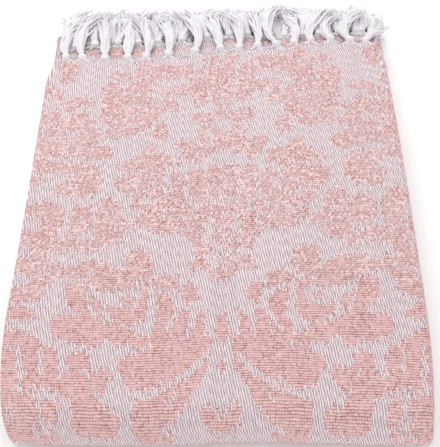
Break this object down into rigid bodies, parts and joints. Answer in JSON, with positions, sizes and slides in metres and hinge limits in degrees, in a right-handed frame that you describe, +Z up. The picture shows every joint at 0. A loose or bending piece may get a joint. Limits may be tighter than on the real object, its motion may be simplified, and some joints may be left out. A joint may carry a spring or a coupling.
{
  "type": "folded cotton throw",
  "caption": "Cotton throw folded flat in four each way, with rows of knotted tassels at the two hems along its back.",
  "frame": {"origin": "on the surface that the throw rests on, under the middle of its bounding box", "axes": "+X to the right along the big front fold, +Y from the front fold back to the fringe, +Z up through the plies"},
  "size_m": [0.3324, 0.5182, 0.043],
  "materials": {
    "cloth": "coral weft figure on a white warp satin ground, matt cotton",
    "fringe": "white cotton warp yarn, knotted, matt"
  },
  "bodies": {
    "root": {"throw_cloth": "cloth", "fringe_top": "fringe", "fringe_under": "fringe"}
  },
  "joints": []
}
